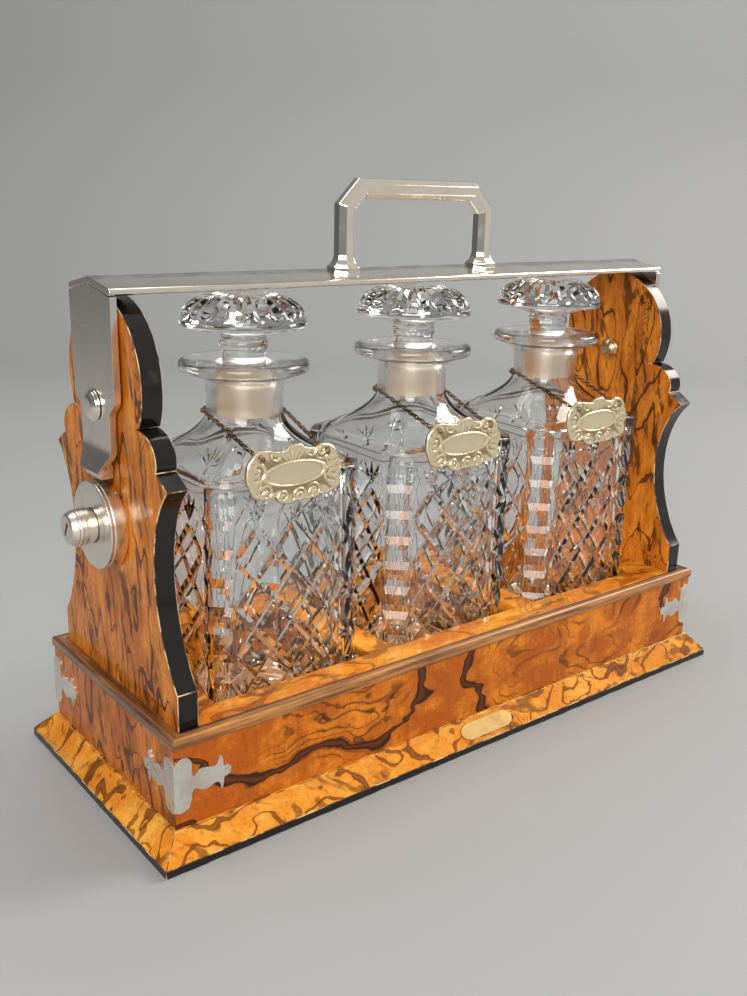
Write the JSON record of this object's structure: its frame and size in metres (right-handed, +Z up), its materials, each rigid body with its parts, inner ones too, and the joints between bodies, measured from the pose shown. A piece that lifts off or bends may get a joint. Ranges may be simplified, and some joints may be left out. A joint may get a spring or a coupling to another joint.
{
  "type": "tantalus",
  "caption": "Square cut-glass decanters with mushroom stoppers stand in a veneered case, held under a swinging top bar with a carrying handle that locks at one end.",
  "frame": {"origin": "bottom centre of the bounding box, on the table under the case; the case's own middle is 2.2 mm towards +X, because the lock's barrel stands out at the left end", "axes": "X along the case with the lock at the -X end, Y from the front to the back, Z up"},
  "size_m": [0.3844, 0.15, 0.2855],
  "materials": {
    "baize": "green baize",
    "well_lining": "tan cloth",
    "base_wood": "plain, waxed",
    "ebonised_wood": "black, polished, worn at the edges",
    "plinth_veneer": "burr veneer, glossy polish",
    "wall_veneer": "burr veneer, glossy polish",
    "moulding_wood": "cross-grained, polished",
    "board_veneer": "veneer, glossy polish",
    "panel_veneer": "veneer, glossy polish, ebonised edges",
    "mount_plate": "silver plate, soft satin",
    "plain_brass": "polished brass",
    "silver_plate": "silver plate, bright satin",
    "steel": "plain steel",
    "crystal": "clear cut lead crystal",
    "gilt_metal": "cast gilt metal",
    "chain_metal": "dark fine chain"
  },
  "bodies": {
    "case": {"base_baize": "baize", "base_board": "base_wood", "ebonised_band": "ebonised_wood", "plinth_front": "plinth_veneer", "plinth_right": "plinth_veneer", "plinth_back": "plinth_veneer", "plinth_left": "plinth_veneer", "box_front": "wall_veneer", "box_right": "wall_veneer", "box_back": "wall_veneer", "box_left": "wall_veneer", "rim_front": "moulding_wood", "rim_right": "moulding_wood", "rim_back": "moulding_wood", "rim_left": "moulding_wood", "top_rail_front": "board_veneer", "top_rail_back": "board_veneer", "bridge_1": "board_veneer", "bridge_2": "board_veneer", "bridge_3": "board_veneer", "bridge_4": "board_veneer", "panel_left": "panel_veneer", "panel_right": "panel_veneer", "well_pad_1": "well_lining", "well_pad_2": "well_lining", "well_pad_3": "well_lining", "corner_mount_front_left": "mount_plate", "corner_mount_front_right": "mount_plate", "corner_mount_back_right": "mount_plate", "corner_mount_back_left": "mount_plate", "name_plate": "plain_brass", "pivot_stud_left": "silver_plate", "pivot_stud_right": "silver_plate", "pivot_washer_left": "steel", "pivot_washer_right": "steel", "pivot_boss_left": "plain_brass", "pivot_boss_right": "plain_brass", "lock_case": "silver_plate", "lock_spring": "steel"},
    "bail": {"top_bar": "silver_plate", "strap_left": "silver_plate", "strap_right": "silver_plate", "handle": "silver_plate", "handle_screw_1": "plain_brass", "handle_screw_2": "plain_brass"},
    "lock_barrel": {"lock_barrel": "silver_plate", "lock_cam": "steel"},
    "lock_bolt": {"lock_bolt": "steel"},
    "decanter_1": {"decanter_1": "crystal", "chain_1": "chain_metal"},
    "stopper_1": {"stopper_1": "crystal"},
    "label_1": {"label_1": "gilt_metal"},
    "decanter_2": {"decanter_2": "crystal", "chain_2": "chain_metal"},
    "stopper_2": {"stopper_2": "crystal"},
    "label_2": {"label_2": "gilt_metal"},
    "decanter_3": {"decanter_3": "crystal", "chain_3": "chain_metal"},
    "stopper_3": {"stopper_3": "crystal"},
    "label_3": {"label_3": "gilt_metal"}
  },
  "joints": [
    {"name": "bail_swing", "type": "hinge", "parent": "case", "child": "bail", "pos_m": [0.00217, 0, 0.1889], "axis": [-1, 0, 0], "range_deg": [0, 85]},
    {"name": "lock_turn", "type": "hinge", "parent": "case", "child": "lock_barrel", "pos_m": [-0.1785, 0, 0.1355], "axis": [1, 0, 0], "range_deg": [0, 90]},
    {"name": "bolt_throw", "type": "slide", "parent": "case", "child": "lock_bolt", "axis": [0, 0, 1], "range_m": [0, 0.005]},
    {"name": "decanter_lift_1", "type": "slide", "parent": "case", "child": "decanter_1", "axis": [0, 0, 1], "range_m": [0, 0.0015]},
    {"name": "stopper_turn_1", "type": "hinge", "parent": "decanter_1", "child": "stopper_1", "pos_m": [-0.10143, 0, 0.203], "axis": [0, 0, 1], "continuous": true},
    {"name": "label_swing_1", "type": "hinge", "parent": "decanter_1", "child": "label_1", "pos_m": [-0.10143, -0.0429, 0.166], "axis": [-1, 0, 0], "range_deg": [0, 35]},
    {"name": "decanter_lift_2", "type": "slide", "parent": "case", "child": "decanter_2", "axis": [0, 0, 1], "range_m": [0, 0.0015]},
    {"name": "stopper_turn_2", "type": "hinge", "parent": "decanter_2", "child": "stopper_2", "pos_m": [0.00217, 0, 0.203], "axis": [0, 0, 1], "continuous": true},
    {"name": "label_swing_2", "type": "hinge", "parent": "decanter_2", "child": "label_2", "pos_m": [0.00217, -0.0429, 0.166], "axis": [-1, 0, 0], "range_deg": [0, 35]},
    {"name": "decanter_lift_3", "type": "slide", "parent": "case", "child": "decanter_3", "axis": [0, 0, 1], "range_m": [0, 0.0015]},
    {"name": "stopper_turn_3", "type": "hinge", "parent": "decanter_3", "child": "stopper_3", "pos_m": [0.10577, 0, 0.203], "axis": [0, 0, 1], "continuous": true},
    {"name": "label_swing_3", "type": "hinge", "parent": "decanter_3", "child": "label_3", "pos_m": [0.10577, -0.0429, 0.166], "axis": [-1, 0, 0], "range_deg": [0, 35]}
  ],
  "couplings": [
    {"joint": "bolt_throw", "follows": "lock_turn", "m_per_rad": 0.003183}
  ]
}
